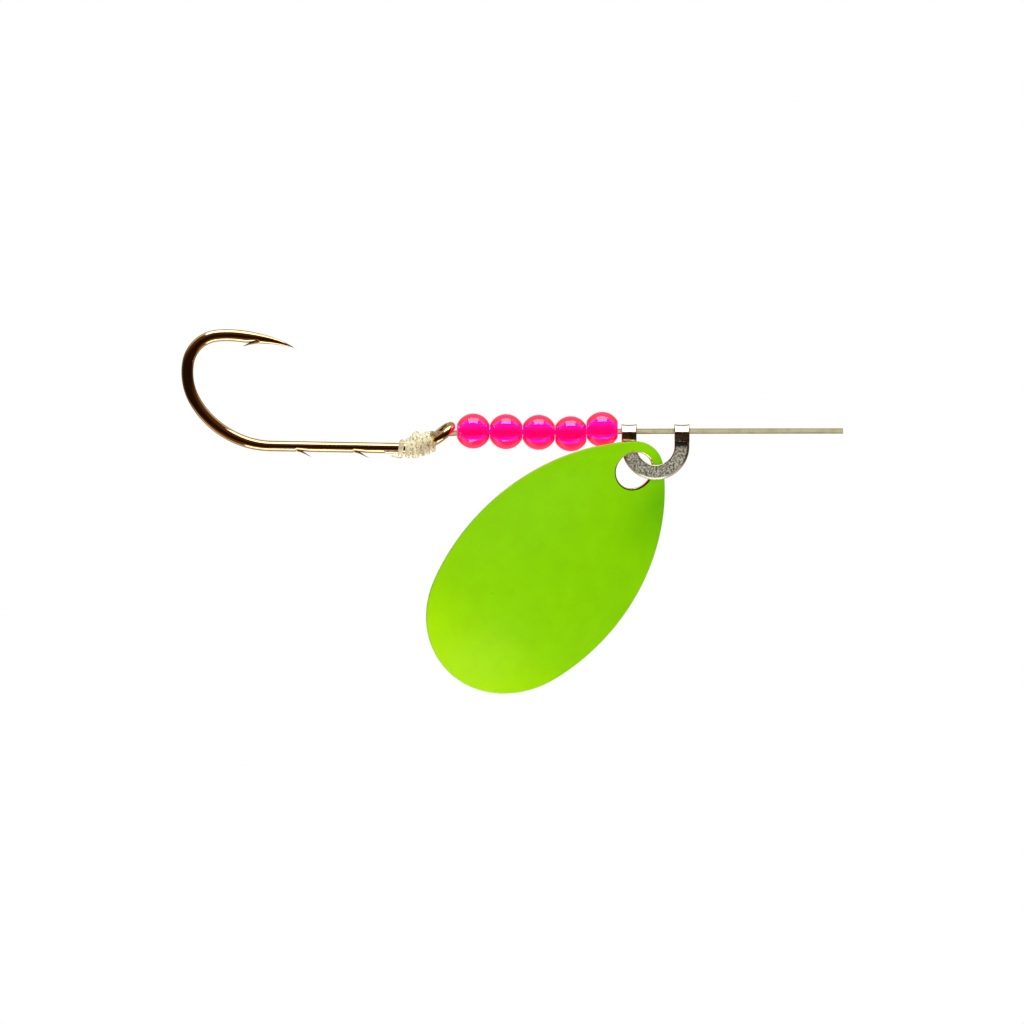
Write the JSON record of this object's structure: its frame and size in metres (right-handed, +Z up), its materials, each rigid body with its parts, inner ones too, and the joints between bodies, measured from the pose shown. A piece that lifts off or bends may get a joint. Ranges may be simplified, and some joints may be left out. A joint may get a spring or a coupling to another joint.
{
  "type": "in-line spinner rig",
  "caption": "Gold bait-holder hook snelled to a clear nylon leader, with a row of round beads and a folded clevis that carries an egg-shaped cupped spinner blade.",
  "frame": {"origin": "centre of the leader's cut end", "axes": "+X along the leader out of its cut end, +Z up, the blade's painted side towards -Y"},
  "size_m": [0.0743, 0.0112, 0.041],
  "materials": {
    "hook_wire": "gold plated, mirror polished",
    "nylon": "clear monofilament",
    "bead": "translucent fluorescent pink",
    "clevis_strip": "nickel plated, stamped",
    "blade_paint": "glossy fluorescent chartreuse over brass"
  },
  "bodies": {
    "root": {"hook": "hook_wire", "snell_wraps": "nylon", "tag_end": "nylon", "leader_line": "nylon"},
    "bead_1": {"bead_1": "bead"},
    "bead_2": {"bead_2": "bead"},
    "bead_3": {"bead_3": "bead"},
    "bead_4": {"bead_4": "bead"},
    "bead_5": {"bead_5": "bead"},
    "clevis": {"clevis": "clevis_strip"},
    "blade": {"blade": "blade_paint"}
  },
  "joints": [
    {"name": "bead_1_spin", "type": "hinge", "parent": "root", "child": "bead_1", "pos_m": [-0.04154, 0, 0], "axis": [1, 0, 0], "continuous": true},
    {"name": "bead_2_spin", "type": "hinge", "parent": "root", "child": "bead_2", "pos_m": [-0.03785, 0, -0.00007], "axis": [1, 0, 0], "continuous": true},
    {"name": "bead_3_spin", "type": "hinge", "parent": "root", "child": "bead_3", "pos_m": [-0.03418, 0, -0.00015], "axis": [1, 0, 0], "continuous": true},
    {"name": "bead_4_spin", "type": "hinge", "parent": "root", "child": "bead_4", "pos_m": [-0.03059, 0, -0.00031], "axis": [1, 0, 0], "continuous": true},
    {"name": "bead_5_spin", "type": "hinge", "parent": "root", "child": "bead_5", "pos_m": [-0.02706, 0, 0.00018], "axis": [1, 0, 0], "continuous": true},
    {"name": "clevis_spin", "type": "hinge", "parent": "root", "child": "clevis", "pos_m": [-0.02107, 0, -0.00002], "axis": [1, 0, 0], "continuous": true},
    {"name": "blade_swing", "type": "hinge", "parent": "clevis", "child": "blade", "pos_m": [-0.02107, 0, -0.00169], "axis": [0, -1, 0], "range_deg": [-4, 82]}
  ]
}
